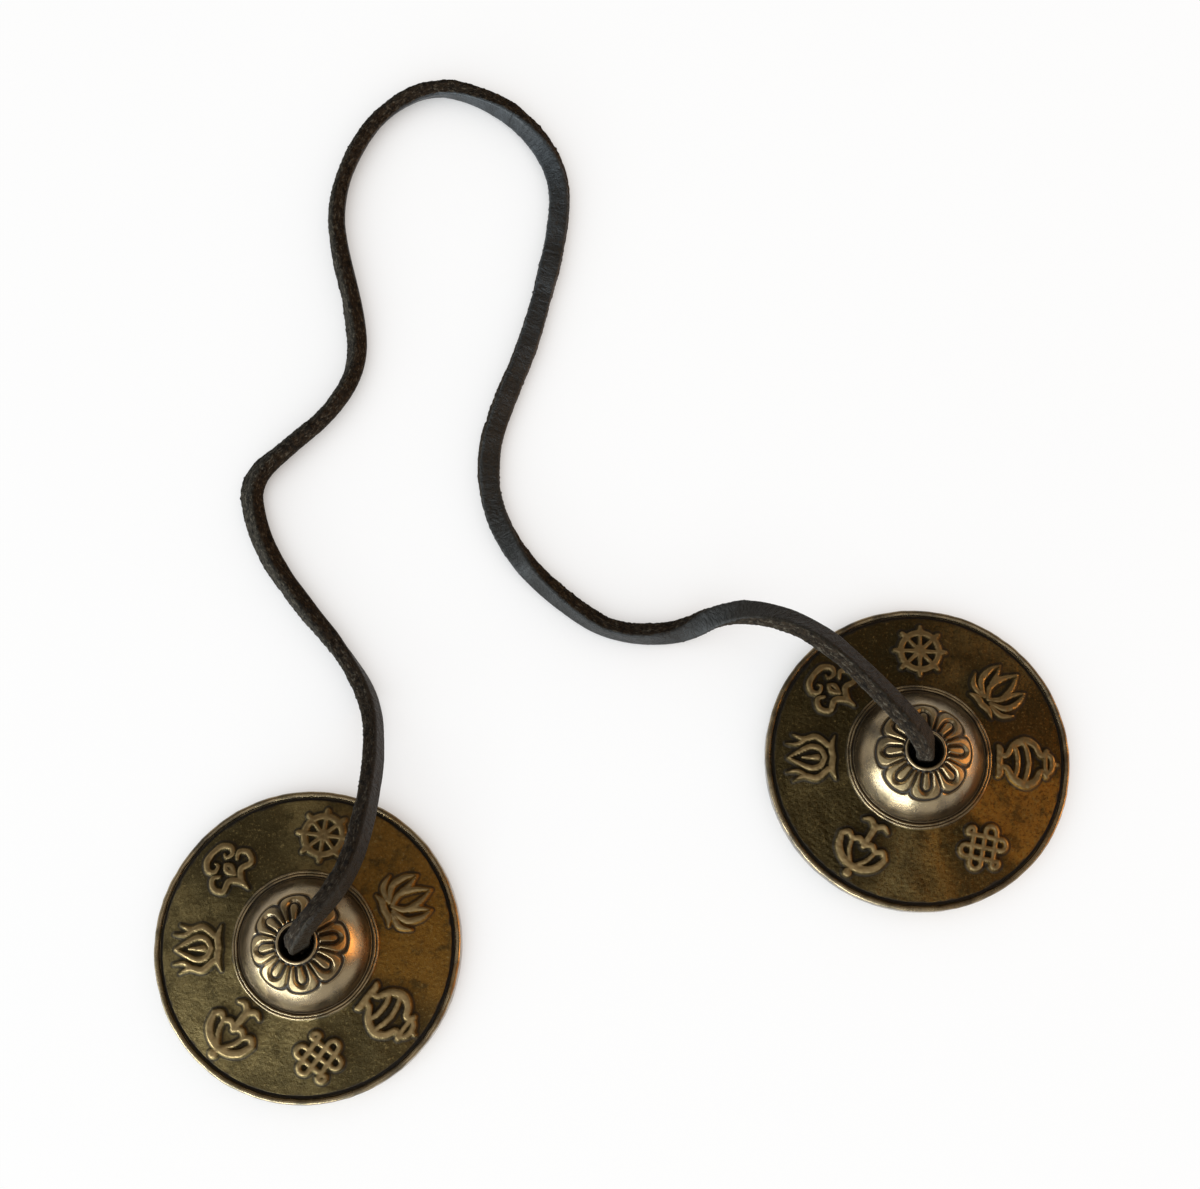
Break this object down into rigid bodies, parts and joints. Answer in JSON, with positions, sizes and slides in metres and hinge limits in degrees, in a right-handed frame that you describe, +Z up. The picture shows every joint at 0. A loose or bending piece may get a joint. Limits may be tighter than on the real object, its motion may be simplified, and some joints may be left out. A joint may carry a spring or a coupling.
{
  "type": "tingsha cymbals",
  "caption": "Cast bronze hand cymbals with a lotus rosette on each dome, joined by one knotted leather lace and struck rim to rim for a clear ringing tone",
  "frame": {"origin": "on the table, midway between the two bore axes", "axes": "+X from the left cymbal to the right cymbal, +Y towards the loop of the lace, +Z up"},
  "size_m": [0.2006, 0.2188, 0.0264],
  "materials": {
    "bronze": "cast bronze with dark brown patina, worn bright on the raised ornament",
    "leather": "dark lace cut from thick leather, smooth blue-grey grain side and brown suede edges"
  },
  "bodies": {
    "lace_left": {"left_leg": "leather", "left_bend": "leather", "bight": "leather"},
    "lace_left_end": {"left_knot": "leather"},
    "cymbal_left": {"left_cymbal": "bronze"},
    "lace_right": {"right_leg": "leather", "right_bend": "leather"},
    "lace_right_end": {"right_knot": "leather"},
    "cymbal_right": {"right_cymbal": "bronze"}
  },
  "joints": [
    {"name": "left_swing", "type": "hinge", "parent": "lace_left", "child": "lace_left_end", "pos_m": [-0.06688, 0.00058, 0.0225], "axis": [-0.5327, 0.8463, 0], "range_deg": [-10, 90], "deforming": ["left_bend"]},
    {"name": "left_spin", "type": "hinge", "parent": "lace_left_end", "child": "cymbal_left", "pos_m": [-0.0678, 0, 0.0142], "axis": [0, 0, 1], "continuous": true},
    {"name": "lace_fold", "type": "hinge", "parent": "lace_left", "child": "lace_right", "pos_m": [0.011, 0.1825, 0.00295], "axis": [0, 0, 1], "range_deg": [-20, 45], "deforming": ["bight"]},
    {"name": "right_swing", "type": "hinge", "parent": "lace_right", "child": "lace_right_end", "pos_m": [0.06735, 0.00099, 0.0225], "axis": [-0.9098, -0.4151, 0], "range_deg": [-10, 90], "deforming": ["right_bend"]},
    {"name": "right_spin", "type": "hinge", "parent": "lace_right_end", "child": "cymbal_right", "pos_m": [0.0678, 0, 0.0142], "axis": [0, 0, 1], "continuous": true}
  ]
}
